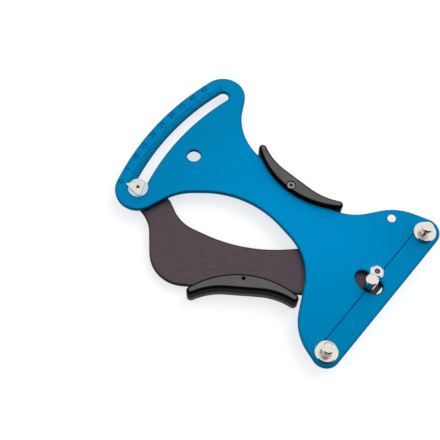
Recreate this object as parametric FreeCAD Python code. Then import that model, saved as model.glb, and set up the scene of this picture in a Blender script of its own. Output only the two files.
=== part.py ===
import FreeCAD, Part
import math
import os

# Spoke tension meter, in millimetres.
#
# Frame: the origin is on the pivot axis, in the plane that the tool rests on. +Z is up, through
# the front face. +X runs from the scale towards the spoke posts, +Y towards the upper grip.
# Two flat plates lie one over the other on the pivot: the main plate in front, the arm behind.
# The tool rests on the head of the pivot bolt and on the backs of its two grips.

# ---- plates and how they stack ------------------------------------------------------------
PLATE_THICK = 3.2           # main plate
ARM_THICK = 3.2             # arm plate
PLATE_GAP = 0.8             # air between the arm and the main plate
EDGE_BREAK = 0.5            # chamfer round the outside of both plates and round both slots
HOLE_FIT = 0.05             # radial clearance of a pin in a hole of its own body
RUNNING_FIT = 0.06          # radial clearance of a joint that turns
FACE_PLAY = 0.05            # axial play at each face that slides
GRIP_SHORT = 3.9            # grip flange on the short side of its slot

# ---- spoke posts --------------------------------------------------------------------------
POST_LINE_X = 7.0           # both fixed posts stand on this line
POST_UPPER_Y = 43.0
POST_LOWER_Y = -60.2
POST_HEIGHT = 10.0          # above the front of the main plate, all three posts
POST_FLANGE_R = 7.05
POST_FLANGE_H = 2.4
POST_NECK_R = 2.1
POST_CAP_R = 3.6
POST_CAP_H = 2.4
POST_CAP_TAPER = 0.5        # length of the cone under the cap
POST_SHANK_R = 2.5
POST_TAIL = 0.7             # thread showing below its nut
MOVING_POST_R = 3.9
MOVING_POST_SWING_R = 8.7   # from the pivot axis
MOVING_POST_REST_DEG = 8.8  # degrees past -Y towards +X, with the tool at rest
POST_BEVEL = 0.6
SPIGOT_R = 2.4
SPIGOT_LEN = 1.2
SPOKE_LINE_X = 1.9          # line engraved where the spoke lies
SPOKE_LINE_W = 0.5
SPOKE_LINE_DEPTH = 0.25

# ---- fasteners ----------------------------------------------------------------------------
NUT_FLATS = 8.0             # across flats, all hexagons
POST_NUT_H = 2.7
LOCK_WASHER_R = 4.3
LOCK_WASHER_T = 1.0
LOCK_WASHER_SPLIT = 1.0
HEX_BEVEL = 0.5
PIVOT_BOLT_R = 1.8
BUSH_R = 3.2
THRUST_WASHER_R = 4.2
PIVOT_WASHER_R = 5.0
PIVOT_WASHER_T = 0.8
PIVOT_NUT_HEX_H = 3.3
PIVOT_NUT_COLLAR_H = 1.5
PIVOT_NUT_COLLAR_R = 3.7
INSERT_R = 2.9
INSERT_SINK = 0.2
BOLT_END_SINK = 0.7         # bolt end below the top of its nut
POST_SCREW_R = 1.6
POST_SCREW_HEAD_R = 3.1
POST_SCREW_CONE = 1.5
POST_SCREW_DEPTH = 6.0      # thread length inside the moving post
SCREW_SLOT_W = 0.9
SCREW_SLOT_D = 0.6
GRIP_SCREW_HEAD_R = 2.6
GRIP_SCREW_HEAD_H = 1.2
GRIP_SCREW_R = 1.5
GRIP_SCREW_BITE = 4.0       # thread length in the long flange
GRIP_SCREW_SINK = 0.3       # head below the face of the grip
GRIP_RECESS_R = 3.0
CROSS_W = 0.7
CROSS_LEN = 2.8
CROSS_DEPTH = 0.7

# ---- scale --------------------------------------------------------------------------------
SLOT_MIDDLE_R = 161.8       # middle of the scale slot, from the pivot axis
SLOT_HALF_W = 3.9
SLOT_LOW_DEG = 19.45        # slot ends, in degrees from -X about the pivot
SLOT_HIGH_DEG = 13.2
SCALE_ZERO_DEG = 19.45      # pointer stud with the tool at rest, in the same degrees
SCALE_RIM = 15.2            # plate outside the middle of the slot
HANG_HOLE_IN = 20.2         # from the middle of the slot towards the pivot
HANG_HOLE_Y = -11.5
HANG_HOLE_R = 4.7
KIDNEY_HALF_W = 4.7
KIDNEY_HALF_DEG = 33.7

# ---- outline of the main plate ------------------------------------------------------------
RIGHT_EDGE_X = 16.3
UPPER_LOBE_R = 9.7
UPPER_LOBE_RISE = 0.9       # lobe centre above the post centre
LOWER_LOBE_R = 9.1
UPPER_FLANK_DEG = 107.8     # outward normal of the straight beside the lobe
UPPER_FLANK = 10.3
UPPER_SHOULDER_R = 34.6
LOWER_FLANK_DEG = 251.9
LOWER_FLANK = 6.9
LOWER_SHOULDER_R = 33.0
TOP_HOLLOW_RIGHT_R = 33.2
TOP_HOLLOW_LEFT_R = 41.2
TOP_RIGHT_DEG = 143.4       # outward normals of the straights at the ends of the top edge
TOP_LEFT_DEG = 29.9
BAY_LEFT_R = 36.5           # the bay under the plate: a wide hollow between these two
BAY_RIGHT_R = 39.8
BAY_LEFT_DEG = 310.75       # outward normals of the straights between the hollows
BAY_RIGHT_DEG = 260.1
BAY_LEFT_STRAIGHT = 6.5     # the wide hollow starts this far from the left one
BAY_SCALE_END_DEG = 342.3   # outward normal and length of the straight at the scale end
BAY_SCALE_END = 10.7
BAY_POST_END_DEG = 207.3    # and of the one at the post end
BAY_POST_END = 16.6

# ---- outline of the arm -------------------------------------------------------------------
ARM_TAIL_R = 7.8
ARM_TAIL_SHOULDER_DX = 17.5 # from the pointer stud
ARM_TAIL_SHOULDER_DY = -0.6
ARM_TAIL_SHOULDER_R = 9.4
ARM_UNDER_HOLLOW_R = 24.3
ARM_BULGE_R = 22.8
ARM_HEAD_X = 7.6
ARM_HEAD_R = 9.5
ARM_EAR_R = 5.1
ARM_EAR_Y = 10.5
ARM_EAR_FLANK_DEG = 118.8
ARM_EAR_FLANK = 37.4
ARM_SHOULDER_R = 24.7
ARM_NECK_R = 100.4
ARM_NECK_STRAIGHT = 21.0    # between the shoulder and the long hollow of the neck
ARM_NECK_END_R = 26.2
ARM_NECK_END_STRAIGHT = 8.5 # between that hollow and the tighter one at its end
ARM_TAIL_NECK_DEG = 64.0    # outward normal and length of the straight from there to the tail
ARM_TAIL_NECK = 6.2
ARM_UNDER_OUT_DEG = 261.3   # the same on both sides of the hollow under the tail
ARM_UNDER_OUT = 12.4
ARM_UNDER_IN_DEG = 223.6

# ---- grips --------------------------------------------------------------------------------
UPPER_GRIP_X = -77.8        # grip screw
UPPER_GRIP_Y = 12.2
UPPER_GRIP_DEG = 0.0
LOWER_GRIP_X = -59.5
LOWER_GRIP_Y = -57.8
LOWER_GRIP_DEG = 36.5
GRIP_SEAT = 4.5             # plate edge beyond the screw
GRIP_INNER_R = 56.0
GRIP_INNER_REACH = 3.3      # grip edge inside the screw
GRIP_BACK = 6.9             # flat outer edge beyond the screw
GRIP_BACK_HALF = 10.4
GRIP_TIP_U = 31.9
GRIP_TIP_R = 2.6
GRIP_ROUND = 2.2
GRIP_PILOT_R = 1.3

# ---- spring -------------------------------------------------------------------------------
ANCHOR_X = -14.8
ANCHOR_Y = 37.6
ANCHOR_R = 2.7
ANCHOR_PROUD = 0.15
PIN_SHOULDER_R = 3.2
PIN_NECK_R = 1.6
PIN_HEAD_R = 2.8
PIN_HEAD_T = 0.7
PIN_FOOT = 0.35             # pin heads above the resting plane
ARM_PIN_R = 2.0
WIRE_R = 0.6
COIL_R = 2.65               # middle of the wire
COIL_PITCH = 1.45
SPRING_STEM = 10.2          # from the arm pin to the first coil
LOOP_CLEAR = 0.3            # between a hook and its pin
LOOP_PLAY = 0.1             # between a hook and the pin's shoulder

# ---- pointer ------------------------------------------------------------------------------
STUD_HEAD_R = 4.0
STUD_HEAD_H = 1.5
STUD_R = 2.0
SLEEVE_R = 3.6
REAR_WASHER_R = 6.8
FRONT_WASHER_R = 6.5
FRONT_WASHER_T = 0.9
POINTER_T = 1.1
POINTER_TIP_LEN = 7.8
POINTER_TIP_R = 0.35
POINTER_CORNER_LEN = 5.2
POINTER_CORNER_DEG = 115.0
POINTER_TURN_DEG = 4.4      # the pointer sits this far off the line from pivot to stud
POINTER_CORNER_R = 1.1
KEY_R = 1.75                # three-sided key of the stud
KEY_SINK = 0.5

# ---- levels that follow -------------------------------------------------------------------
ARM_BACK = GRIP_SHORT
ARM_FRONT = ARM_BACK + ARM_THICK
PLATE_BACK = ARM_FRONT + PLATE_GAP
PLATE_FRONT = PLATE_BACK + PLATE_THICK
POST_TOP = PLATE_FRONT + POST_HEIGHT
UPPER_GRIP_TOP = PLATE_FRONT + GRIP_SHORT
LOWER_GRIP_TOP = ARM_FRONT + PLATE_BACK
BEYOND = 1.0                # how far cutting tools run past a face
TOUCH = 1e-9                # below this two rounds touch and no straight joins them

UP = FreeCAD.Vector(0, 0, 1)


def at(x, y, z=0.0):
    return FreeCAD.Vector(x, y, z)


def polar(radius, degrees, centre=(0.0, 0.0)):
    """Point at a radius and angle round a centre."""
    angle = math.radians(degrees)
    return (centre[0] + radius * math.cos(angle), centre[1] + radius * math.sin(angle))


# ---- flat outlines ------------------------------------------------------------------------
# An outline is a closed list of rounds (x, y, radius), walked anticlockwise. A positive radius
# bulges outwards, a negative one is a hollow. Straights join them, tangent to both.

def contacts(first, second):
    """End points of the straight that leaves one round and joins the next."""
    dx = second[0] - first[0]
    dy = second[1] - first[1]
    span = math.hypot(dx, dy)
    along = (first[2] - second[2]) / span
    rest = 1.0 - along * along
    across = math.sqrt(rest) if rest > TOUCH else 0.0
    nx = (along * dx + across * dy) / span
    ny = (along * dy - across * dx) / span
    return ((first[0] + first[2] * nx, first[1] + first[2] * ny),
            (second[0] + second[2] * nx, second[1] + second[2] * ny))


def round_edge(centre, start, end, anticlockwise):
    """Arc about a centre between two points."""
    radius = math.hypot(start[0] - centre[0], start[1] - centre[1])
    a0 = math.atan2(start[1] - centre[1], start[0] - centre[0])
    a1 = math.atan2(end[1] - centre[1], end[0] - centre[0])
    turn = (a1 - a0) % (2 * math.pi)
    if not anticlockwise:
        turn = turn - 2 * math.pi
    middle = polar(radius, math.degrees(a0 + turn / 2), centre)
    return Part.Arc(at(*start), at(*middle), at(*end)).toShape()


def outline(rounds):
    """Face inside a closed chain of tangent rounds, at Z 0."""
    count = len(rounds)
    straights = [contacts(rounds[i], rounds[(i + 1) % count]) for i in range(count)]
    edges = []
    for i, item in enumerate(rounds):
        start = straights[i - 1][1]
        end, after = straights[i]
        edges.append(round_edge(item[:2], start, end, item[2] > 0))
        if math.dist(end, after) > 1e-6:
            edges.append(Part.LineSegment(at(*end), at(*after)).toShape())
    return Part.Face(Part.Wire(edges))


def between(first, first_gap, second, second_gap, radius):
    """Round after the first and before the second, with straights of known length to each."""
    r1 = math.hypot(first[2] - radius, first_gap)
    r2 = math.hypot(second[2] - radius, second_gap)
    dx = second[0] - first[0]
    dy = second[1] - first[1]
    span = math.hypot(dx, dy)
    along = (span * span + r1 * r1 - r2 * r2) / (2 * span)
    across = math.copysign(math.sqrt(r1 * r1 - along * along), radius)
    return (first[0] + (along * dx - across * dy) / span,
            first[1] + (along * dy + across * dx) / span, radius)


def corner(first, first_deg, second, second_deg, radius):
    """Round in the corner of two straights: one leaves the first round, the other joins the second.

    The angles are those of the straights' outward normals.
    """
    ax, ay = polar(1.0, first_deg)
    bx, by = polar(1.0, second_deg)
    a = first[0] * ax + first[1] * ay + first[2] - radius
    b = second[0] * bx + second[1] * by + second[2] - radius
    cross = ax * by - ay * bx
    return ((a * by - b * ay) / cross, (b * ax - a * bx) / cross, radius)


def wide_hollow(first, first_deg, gap, second, second_deg):
    """Hollow in such a corner, as wide as leaves a straight of the given length after the first."""
    tip = corner(first, first_deg, second, second_deg, 0.0)
    start = polar(first[2], first_deg, first)
    half_turn = math.radians(abs(second_deg - first_deg)) / 2
    radius = (math.dist(start, tip[:2]) - gap) / math.tan(half_turn)
    return corner(first, first_deg, second, second_deg, -radius)


def after_flank(item, normal_deg, length, radius):
    """Round that follows a straight of known direction and length."""
    nx, ny = polar(1.0, normal_deg)
    reach = item[2] - radius
    return (item[0] + reach * nx - length * ny, item[1] + reach * ny + length * nx, radius)


def before_flank(item, normal_deg, length, radius):
    """Round that comes before such a straight."""
    nx, ny = polar(1.0, normal_deg)
    reach = item[2] - radius
    return (item[0] + reach * nx + length * ny, item[1] + reach * ny - length * nx, radius)


def slab(face, bottom, height):
    """A flat face raised to a level and thickened."""
    body = face.extrude(at(0, 0, height))
    body.translate(at(0, 0, bottom))
    return body


def bevel_outline(body, levels, size):
    """Chamfer the edges that lie in the given levels."""
    chosen = []
    for edge in body.Edges:
        box = edge.BoundBox
        for level in levels:
            if abs(box.ZMin - level) < 1e-6 and abs(box.ZMax - level) < 1e-6:
                chosen.append(edge)
    return body.makeChamfer(size, chosen)


def disc(radius, bottom, height, centre=(0.0, 0.0)):
    return Part.makeCylinder(radius, height, at(centre[0], centre[1], bottom))


def ring(outer, inner, bottom, height, centre=(0.0, 0.0)):
    hole = disc(inner, bottom - BEYOND, height + 2 * BEYOND, centre)
    return disc(outer, bottom, height, centre).cut(hole)


def turned(profile, centre):
    """Solid turned from (radius, level) points about a vertical axis."""
    points = [at(r, 0, z) for r, z in profile]
    face = Part.Face(Part.makePolygon(points + points[:1]))
    body = face.revolve(at(0, 0), UP, 360)
    body.translate(at(centre[0], centre[1]))
    return body


def hexagon(flats, bottom, height, centre=(0.0, 0.0)):
    """Hexagonal prism with two of its flats facing along Y, bevelled corners at both ends."""
    corner = flats / math.sqrt(3)
    points = [at(*polar(corner, 60 * i, centre), bottom) for i in range(6)]
    prism = Part.Face(Part.makePolygon(points + points[:1])).extrude(at(0, 0, height))
    slope = corner - (flats / 2 - HEX_BEVEL / 2)
    rise = slope * math.tan(math.radians(30))
    cone = [(0, bottom), (corner - slope, bottom), (corner, bottom + rise),
            (corner, bottom + height - rise), (corner - slope, bottom + height), (0, bottom + height)]
    return prism.common(turned(cone, centre))


def arc_slot(orbit, half_width, start_deg, end_deg):
    """Face of a slot that follows a circle about the pivot."""
    inner, outer = orbit - half_width, orbit + half_width
    a, b = polar(outer, start_deg), polar(outer, end_deg)
    c, d = polar(inner, end_deg), polar(inner, start_deg)
    mid = (start_deg + end_deg) / 2
    cap_end = polar(half_width, end_deg + 90, polar(orbit, end_deg))
    cap_start = polar(half_width, start_deg - 90, polar(orbit, start_deg))
    edges = [Part.Arc(at(*a), at(*polar(outer, mid)), at(*b)).toShape(),
             Part.Arc(at(*b), at(*cap_end), at(*c)).toShape(),
             Part.Arc(at(*c), at(*polar(inner, mid)), at(*d)).toShape(),
             Part.Arc(at(*d), at(*cap_start), at(*a)).toShape()]
    return Part.Face(Part.Wire(edges))


# ---- places that follow -------------------------------------------------------------------
POST_UPPER = (POST_LINE_X, POST_UPPER_Y)
POST_LOWER = (POST_LINE_X, POST_LOWER_Y)
PIVOT = (0.0, 0.0)
MOVING_POST = polar(MOVING_POST_SWING_R, MOVING_POST_REST_DEG - 90)
STUD = polar(SLOT_MIDDLE_R, 180 + SCALE_ZERO_DEG)
SLOT_LOW = polar(SLOT_MIDDLE_R, 180 + SLOT_LOW_DEG)
SLOT_HIGH = polar(SLOT_MIDDLE_R, 180 - SLOT_HIGH_DEG)
ANCHOR = (ANCHOR_X, ANCHOR_Y)
ARM_PIN = (ARM_HEAD_X - ARM_EAR_R, ARM_EAR_Y)


def grip_frame(screw, degrees, flipped):
    """Placement of a grip: u along its length, v outwards, w from its short flange inwards."""
    along = at(*polar(1.0, degrees))
    if flipped:
        outwards = at(*polar(1.0, degrees - 90))
        inwards = UP
    else:
        outwards = at(*polar(1.0, degrees + 90))
        inwards = UP * -1
    return along, outwards, inwards, at(*screw)


def on_grip(frame, u, v):
    """Point in the plan of a grip, as seen in the tool's frame."""
    along, outwards, _, origin = frame
    point = origin + along * u + outwards * v
    return (point.x, point.y)


UPPER_SCREW = (UPPER_GRIP_X, UPPER_GRIP_Y)
LOWER_SCREW = (LOWER_GRIP_X, LOWER_GRIP_Y)
UPPER_GRIP = grip_frame(UPPER_SCREW, UPPER_GRIP_DEG, False)
LOWER_GRIP = grip_frame(LOWER_SCREW, LOWER_GRIP_DEG, True)


# ---- main plate ---------------------------------------------------------------------------
def plate_outline():
    upper_lobe = (RIGHT_EDGE_X - UPPER_LOBE_R, POST_UPPER_Y + UPPER_LOBE_RISE, UPPER_LOBE_R)
    lower_lobe = (RIGHT_EDGE_X - LOWER_LOBE_R, POST_LOWER_Y, LOWER_LOBE_R)
    upper_shoulder = after_flank(upper_lobe, UPPER_FLANK_DEG, UPPER_FLANK, UPPER_SHOULDER_R)
    lower_shoulder = before_flank(lower_lobe, LOWER_FLANK_DEG, LOWER_FLANK, LOWER_SHOULDER_R)
    high_lobe = (*SLOT_HIGH, SCALE_RIM)
    low_lobe = (*SLOT_LOW, SCALE_RIM)
    scale_arc = (0.0, 0.0, SLOT_MIDDLE_R + SCALE_RIM)
    seat = (UPPER_SCREW[0], UPPER_SCREW[1] + GRIP_SEAT, 0.0)
    top_right = corner(upper_shoulder, TOP_RIGHT_DEG, seat, 90, -TOP_HOLLOW_RIGHT_R)
    top_left = corner(seat, 90, high_lobe, TOP_LEFT_DEG, -TOP_HOLLOW_LEFT_R)
    bay_left = after_flank(low_lobe, BAY_SCALE_END_DEG, BAY_SCALE_END, -BAY_LEFT_R)
    bay_right = before_flank(lower_shoulder, BAY_POST_END_DEG, BAY_POST_END, -BAY_RIGHT_R)
    bay = wide_hollow(bay_left, BAY_LEFT_DEG, BAY_LEFT_STRAIGHT, bay_right, BAY_RIGHT_DEG)
    return outline([lower_lobe, upper_lobe, upper_shoulder, top_right, top_left, high_lobe,
                    scale_arc, low_lobe, bay_left, bay, bay_right, lower_shoulder])


def plate_blank():
    body = slab(plate_outline(), PLATE_BACK, PLATE_THICK)
    return bevel_outline(body, (PLATE_BACK, PLATE_FRONT), EDGE_BREAK)


def main_plate():
    low = PLATE_BACK - BEYOND
    deep = PLATE_THICK + 2 * BEYOND
    scale_slot = arc_slot(SLOT_MIDDLE_R, SLOT_HALF_W, 180 - SLOT_HIGH_DEG, 180 + SLOT_LOW_DEG)
    kidney = arc_slot(MOVING_POST_SWING_R, KIDNEY_HALF_W, 270 - KIDNEY_HALF_DEG, 270 + KIDNEY_HALF_DEG)
    body = slab(plate_outline(), PLATE_BACK, PLATE_THICK)
    body = body.cut(slab(scale_slot, low, deep)).cut(slab(kidney, low, deep))
    body = bevel_outline(body, (PLATE_BACK, PLATE_FRONT), EDGE_BREAK)
    cuts = [disc(HANG_HOLE_R, low, deep, (HANG_HOLE_IN - SLOT_MIDDLE_R, HANG_HOLE_Y)),
            disc(PIVOT_BOLT_R + HOLE_FIT, low, deep),
            disc(POST_SHANK_R + HOLE_FIT, low, deep, POST_UPPER),
            disc(POST_SHANK_R + HOLE_FIT, low, deep, POST_LOWER),
            disc(ANCHOR_R, low, deep, ANCHOR),
            disc(GRIP_SCREW_R + HOLE_FIT, low, deep, UPPER_SCREW),
            Part.makeBox(SPOKE_LINE_W, POST_UPPER_Y - POST_LOWER_Y, SPOKE_LINE_DEPTH + BEYOND,
                         at(SPOKE_LINE_X - SPOKE_LINE_W / 2, POST_LOWER_Y,
                            PLATE_FRONT - SPOKE_LINE_DEPTH))]
    for tool in cuts:
        body = body.cut(tool)
    return body


# ---- arm ----------------------------------------------------------------------------------
def arm_outline():
    seat = (*on_grip(LOWER_GRIP, 0, GRIP_SEAT), 0.0)
    seat_deg = LOWER_GRIP_DEG - 90
    tail = (*STUD, ARM_TAIL_R)
    under = after_flank(tail, ARM_UNDER_OUT_DEG, ARM_UNDER_OUT, -ARM_UNDER_HOLLOW_R)
    bulge = corner(under, ARM_UNDER_IN_DEG, seat, seat_deg, ARM_BULGE_R)
    head = corner(seat, seat_deg, (ARM_HEAD_X, 0.0, 0.0), 0, ARM_HEAD_R)
    ear = (*ARM_PIN, ARM_EAR_R)
    shoulder = after_flank(ear, ARM_EAR_FLANK_DEG, ARM_EAR_FLANK, ARM_SHOULDER_R)
    tail_shoulder = (STUD[0] + ARM_TAIL_SHOULDER_DX, STUD[1] + ARM_TAIL_SHOULDER_DY, ARM_TAIL_SHOULDER_R)
    neck_end = before_flank(tail_shoulder, ARM_TAIL_NECK_DEG, ARM_TAIL_NECK, -ARM_NECK_END_R)
    neck = between(shoulder, ARM_NECK_STRAIGHT, neck_end, ARM_NECK_END_STRAIGHT, -ARM_NECK_R)
    return outline([tail, under, bulge, head, ear, shoulder, neck, neck_end, tail_shoulder])


def arm_blank():
    body = slab(arm_outline(), ARM_BACK, ARM_THICK)
    return bevel_outline(body, (ARM_BACK, ARM_FRONT), EDGE_BREAK)


def arm_plate():
    body = arm_blank()
    low = ARM_BACK - BEYOND
    deep = ARM_THICK + 2 * BEYOND
    sink = turned([(0, ARM_BACK - BEYOND), (POST_SCREW_HEAD_R, ARM_BACK - BEYOND),
                   (POST_SCREW_HEAD_R, ARM_BACK), (POST_SCREW_R, ARM_BACK + POST_SCREW_CONE),
                   (0, ARM_BACK + POST_SCREW_CONE)], MOVING_POST)
    cuts = [disc(BUSH_R + RUNNING_FIT, low, deep),
            disc(POST_SCREW_R, low, deep, MOVING_POST),
            disc(SPIGOT_R, ARM_FRONT - SPIGOT_LEN, SPIGOT_LEN + BEYOND, MOVING_POST),
            sink,
            disc(ARM_PIN_R, low, deep, ARM_PIN),
            disc(STUD_R, low, deep, STUD),
            disc(GRIP_SCREW_R + HOLE_FIT, low, deep, LOWER_SCREW)]
    for tool in cuts:
        body = body.cut(tool)
    return body


# ---- grips --------------------------------------------------------------------------------
def grip_face(frame):
    """Crescent seen from the front, with its round side towards the other grip."""
    inner_v = GRIP_INNER_R - GRIP_INNER_REACH
    tip_v = inner_v - math.sqrt((GRIP_INNER_R - GRIP_TIP_R) ** 2 - GRIP_TIP_U ** 2)
    run = GRIP_TIP_U - GRIP_BACK_HALF
    rise = GRIP_BACK - tip_v
    hollow = (run * run + rise * rise - GRIP_TIP_R ** 2) / (2 * (GRIP_TIP_R - rise))
    local = [(0.0, inner_v, GRIP_INNER_R), (GRIP_TIP_U, tip_v, GRIP_TIP_R),
             (GRIP_BACK_HALF, GRIP_BACK + hollow, -hollow),
             (-GRIP_BACK_HALF, GRIP_BACK + hollow, -hollow), (-GRIP_TIP_U, tip_v, GRIP_TIP_R)]
    rounds = [(*on_grip(frame, u, v), radius) for u, v, radius in local]
    if frame[2].z > 0:
        rounds.reverse()
    return outline(rounds)


def grip(frame, held_plate, face_level):
    """Moulded grip that straddles the edge of a plate. face_level is its screw side."""
    inwards = frame[2]
    height = UPPER_GRIP_TOP if inwards.z < 0 else LOWER_GRIP_TOP
    body = slab(grip_face(frame), 0.0, height)
    rim = []
    for edge in body.Edges:
        box = edge.BoundBox
        if box.ZMax - box.ZMin < 1e-6:
            rim.append(edge)
    body = body.makeFillet(GRIP_ROUND, rim)
    body = body.cut(held_plate)
    centre = at(frame[3].x, frame[3].y, face_level)
    recess = GRIP_SCREW_SINK + GRIP_SCREW_HEAD_H
    body = body.cut(Part.makeCylinder(GRIP_RECESS_R, recess + BEYOND, centre - inwards * BEYOND, inwards))
    body = body.cut(Part.makeCylinder(GRIP_SCREW_R + HOLE_FIT, GRIP_SHORT + BEYOND, centre, inwards))
    long_side = centre + inwards * (GRIP_SHORT + PLATE_THICK - BEYOND)
    body = body.cut(Part.makeCylinder(GRIP_SCREW_R, GRIP_SCREW_BITE + BEYOND, long_side, inwards))
    return body.cut(Part.makeCylinder(GRIP_PILOT_R, height + BEYOND, centre, inwards))


def grip_screw(frame, face_level, plate_thick):
    """Round-headed screw with a cross recess."""
    inwards = frame[2]
    top = at(frame[3].x, frame[3].y, face_level) + inwards * GRIP_SCREW_SINK
    head = Part.makeCylinder(GRIP_SCREW_HEAD_R, GRIP_SCREW_HEAD_H, top, inwards)
    rim = [edge for edge in head.Edges if abs(edge.BoundBox.Center.z - top.z) < 1e-6]
    head = head.makeFillet(GRIP_SCREW_HEAD_H * 0.4, rim)
    length = GRIP_SHORT - GRIP_SCREW_SINK + plate_thick + GRIP_SCREW_BITE
    body = head.fuse(Part.makeCylinder(GRIP_SCREW_R, length, top, inwards))
    for turn in (0, 90):
        arm = Part.makeBox(CROSS_LEN, CROSS_W, 2 * CROSS_DEPTH,
                           at(-CROSS_LEN / 2, -CROSS_W / 2, -CROSS_DEPTH))
        arm.rotate(at(0, 0), UP, 45 + turn)
        arm.translate(top)
        body = body.cut(arm)
    return body


# ---- posts --------------------------------------------------------------------------------
def fixed_post(centre):
    """Turned spool: wide flange, thin neck, cap, and a shank through the plate."""
    flange_top = PLATE_FRONT + POST_FLANGE_H
    cap_low = POST_TOP - POST_CAP_H
    foot = PLATE_BACK - LOCK_WASHER_T - POST_NUT_H - POST_TAIL
    profile = [(0, foot), (POST_SHANK_R - POST_BEVEL, foot), (POST_SHANK_R, foot + POST_BEVEL),
               (POST_SHANK_R, PLATE_FRONT), (POST_FLANGE_R, PLATE_FRONT),
               (POST_FLANGE_R, flange_top - POST_BEVEL), (POST_FLANGE_R - POST_BEVEL, flange_top),
               (POST_NECK_R, flange_top), (POST_NECK_R, cap_low - POST_CAP_TAPER),
               (POST_CAP_R, cap_low), (POST_CAP_R, POST_TOP - POST_BEVEL),
               (POST_CAP_R - POST_BEVEL, POST_TOP), (0, POST_TOP)]
    return turned(profile, centre)


def lock_washer(centre):
    """Split spring washer."""
    washer = ring(LOCK_WASHER_R, POST_SHANK_R + HOLE_FIT, PLATE_BACK - LOCK_WASHER_T,
                  LOCK_WASHER_T, centre)
    split = Part.makeBox(LOCK_WASHER_R + BEYOND, LOCK_WASHER_SPLIT, LOCK_WASHER_T + 2 * BEYOND,
                         at(centre[0], centre[1] - LOCK_WASHER_SPLIT / 2,
                            PLATE_BACK - LOCK_WASHER_T - BEYOND))
    return washer.cut(split)


def post_nut(centre):
    bottom = PLATE_BACK - LOCK_WASHER_T - POST_NUT_H
    nut = hexagon(NUT_FLATS, bottom, POST_NUT_H, centre)
    return nut.cut(disc(POST_SHANK_R, bottom - BEYOND, POST_NUT_H + 2 * BEYOND, centre))


def moving_post():
    """Plain post standing on the arm, with a spigot in the arm and a tapped hole behind."""
    foot = ARM_FRONT - SPIGOT_LEN
    profile = [(POST_SCREW_R, foot), (SPIGOT_R, foot), (SPIGOT_R, ARM_FRONT),
               (MOVING_POST_R, ARM_FRONT), (MOVING_POST_R, POST_TOP - POST_BEVEL),
               (MOVING_POST_R - POST_BEVEL, POST_TOP), (0, POST_TOP),
               (0, foot + POST_SCREW_DEPTH), (POST_SCREW_R, foot + POST_SCREW_DEPTH)]
    return turned(profile, MOVING_POST)


def moving_post_screw():
    end = ARM_FRONT - SPIGOT_LEN + POST_SCREW_DEPTH
    profile = [(0, ARM_BACK), (POST_SCREW_HEAD_R, ARM_BACK),
               (POST_SCREW_R, ARM_BACK + POST_SCREW_CONE), (POST_SCREW_R, end), (0, end)]
    body = turned(profile, MOVING_POST)
    slot = Part.makeBox(2 * POST_SCREW_HEAD_R, SCREW_SLOT_W, SCREW_SLOT_D + BEYOND,
                        at(MOVING_POST[0] - POST_SCREW_HEAD_R, MOVING_POST[1] - SCREW_SLOT_W / 2,
                           ARM_BACK - BEYOND))
    return body.cut(slot)


# ---- pivot --------------------------------------------------------------------------------
BUSH_BACK = ARM_BACK - FACE_PLAY
BUSH_FRONT = ARM_FRONT + FACE_PLAY
PIVOT_HEAD_H = BUSH_BACK - PIVOT_WASHER_T
PIVOT_NUT_TOP = PLATE_FRONT + PIVOT_NUT_HEX_H + PIVOT_NUT_COLLAR_H


def pivot_bolt():
    head = hexagon(NUT_FLATS, 0.0, PIVOT_HEAD_H)
    return head.fuse(disc(PIVOT_BOLT_R, 0.0, PIVOT_NUT_TOP - BOLT_END_SINK))


def pivot_washer():
    return ring(PIVOT_WASHER_R, PIVOT_BOLT_R + HOLE_FIT, PIVOT_HEAD_H, PIVOT_WASHER_T)


def pivot_bushing():
    return ring(BUSH_R, PIVOT_BOLT_R + HOLE_FIT, BUSH_BACK, BUSH_FRONT - BUSH_BACK)


def thrust_washer():
    return ring(THRUST_WASHER_R, PIVOT_BOLT_R + HOLE_FIT, BUSH_FRONT, PLATE_BACK - BUSH_FRONT)


def pivot_nut():
    """Hexagon nut with a round collar for its locking ring."""
    collar_low = PLATE_FRONT + PIVOT_NUT_HEX_H
    collar = turned([(0, collar_low - HEX_BEVEL), (PIVOT_NUT_COLLAR_R, collar_low - HEX_BEVEL),
                     (PIVOT_NUT_COLLAR_R, PIVOT_NUT_TOP - HEX_BEVEL),
                     (PIVOT_NUT_COLLAR_R - HEX_BEVEL, PIVOT_NUT_TOP), (0, PIVOT_NUT_TOP)], PIVOT)
    body = hexagon(NUT_FLATS, PLATE_FRONT, PIVOT_NUT_HEX_H).fuse(collar)
    body = body.cut(disc(PIVOT_BOLT_R, PLATE_FRONT - BEYOND, PIVOT_NUT_TOP))
    return body.cut(disc(INSERT_R, collar_low, PIVOT_NUT_COLLAR_H + BEYOND))


def pivot_nut_insert():
    return ring(INSERT_R, PIVOT_BOLT_R, PLATE_FRONT + PIVOT_NUT_HEX_H, PIVOT_NUT_COLLAR_H - INSERT_SINK)


# ---- spring and its pins ------------------------------------------------------------------
PIN_HEAD_TOP = PIN_FOOT + PIN_HEAD_T
LOOP_LEVEL = PIN_HEAD_TOP + LOOP_PLAY + WIRE_R
SHOULDER_LOW = LOOP_LEVEL + WIRE_R + LOOP_PLAY
LOOP_R = PIN_NECK_R + LOOP_CLEAR + WIRE_R


def spring_pin(centre, shoulder_top, shank_r, top):
    """Headed pin: a neck for the spring's hook under a shoulder, and a shank in its plate."""
    profile = [(0, PIN_FOOT), (PIN_HEAD_R, PIN_FOOT), (PIN_HEAD_R, PIN_HEAD_TOP),
               (PIN_NECK_R, PIN_HEAD_TOP), (PIN_NECK_R, SHOULDER_LOW),
               (PIN_SHOULDER_R, SHOULDER_LOW), (PIN_SHOULDER_R, shoulder_top),
               (shank_r, shoulder_top), (shank_r, top), (0, top)]
    return turned(profile, centre)


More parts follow.
